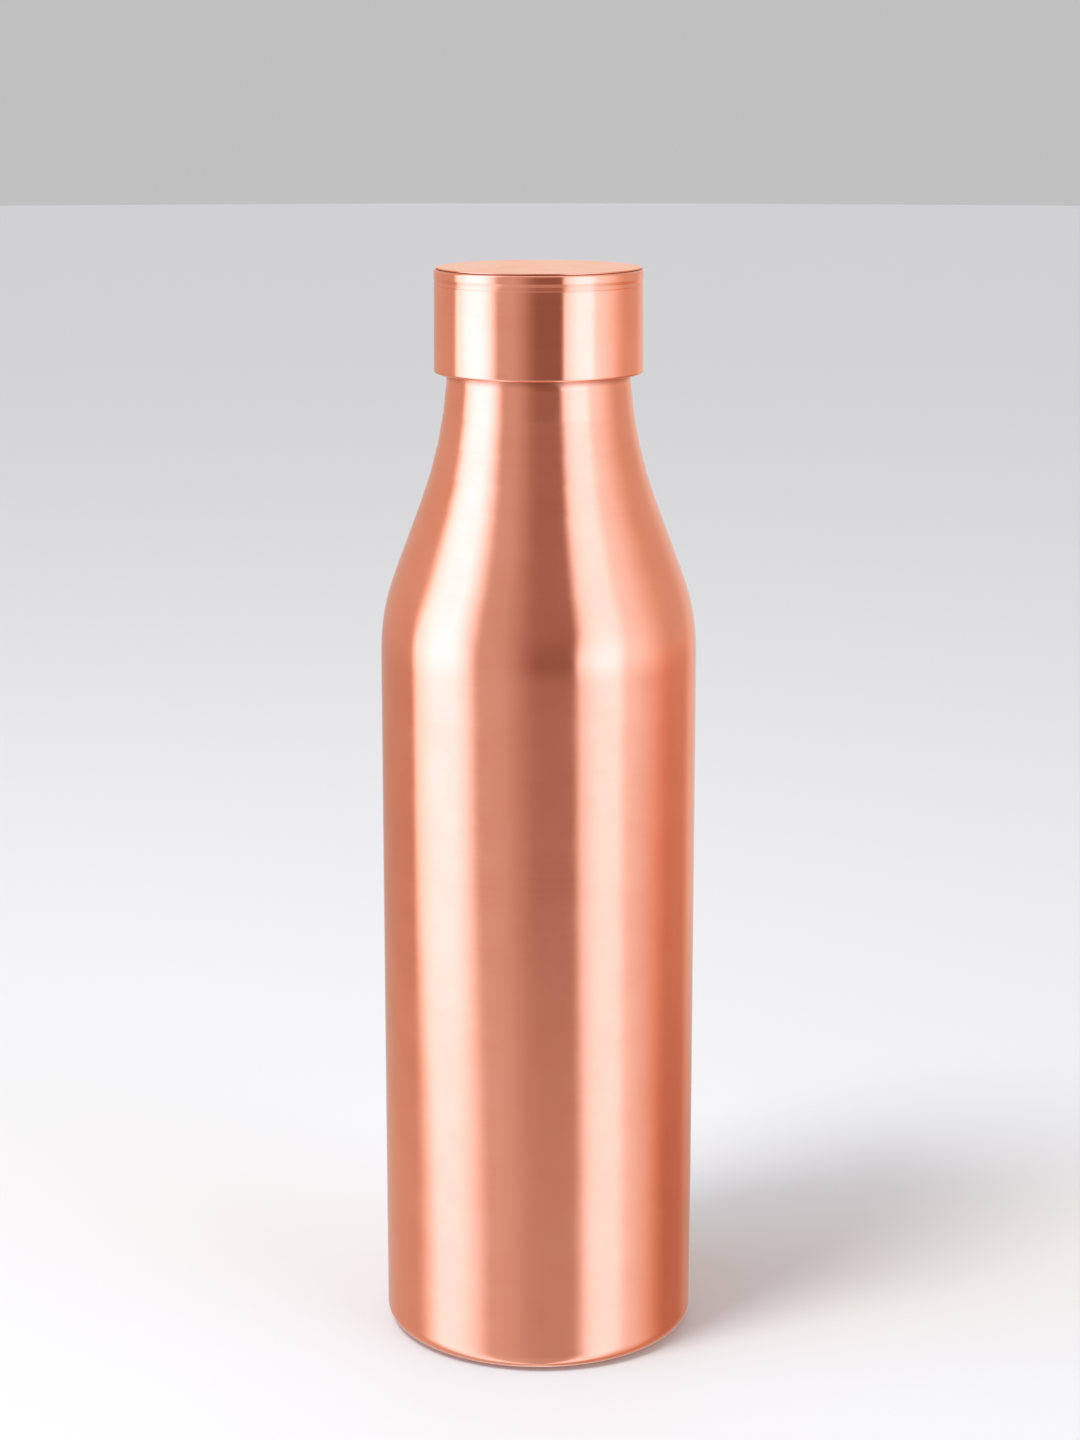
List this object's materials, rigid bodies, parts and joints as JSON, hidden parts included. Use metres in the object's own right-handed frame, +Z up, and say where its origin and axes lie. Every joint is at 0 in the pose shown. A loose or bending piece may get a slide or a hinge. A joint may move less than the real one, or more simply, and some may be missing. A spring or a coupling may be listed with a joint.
{
  "type": "screw-cap copper water bottle",
  "caption": "Slim copper water bottle with a straight round body, long tapering shoulder, narrow neck and a flat-topped screw cap with a sealing washer.",
  "frame": {"origin": "centre of the base, on the surface that the bottle stands on", "axes": "+Z up the bottle's axis, from the base to the cap; the bottle is round, so X and Y are any two square directions across it"},
  "size_m": [0.075, 0.075, 0.2582],
  "materials": {
    "satin_copper": "satin",
    "bright_copper": "polished",
    "braze": "matte",
    "silicone": "matte"
  },
  "bodies": {
    "bottle": {"body_shell": "satin_copper", "neck_thread_collar": "bright_copper", "neck_braze_ring": "braze"},
    "seal": {"seal_ring": "silicone"},
    "cap": {"cap_shell": "bright_copper", "cap_top_disc": "bright_copper", "cap_thread_ring": "bright_copper", "cap_inner_disc": "satin_copper"}
  },
  "joints": [
    {"name": "cap_lift", "type": "slide", "parent": "bottle", "child": "seal", "axis": [0, 0, 1], "range_m": [0, 0.0241]},
    {"name": "cap_turn", "type": "hinge", "parent": "seal", "child": "cap", "pos_m": [0, 0, 0.246], "axis": [0, 0, 1], "range_deg": [0, 2160]}
  ],
  "couplings": [
    {"joint": "cap_lift", "follows": "cap_turn", "m_per_rad": 0.00063662}
  ]
}
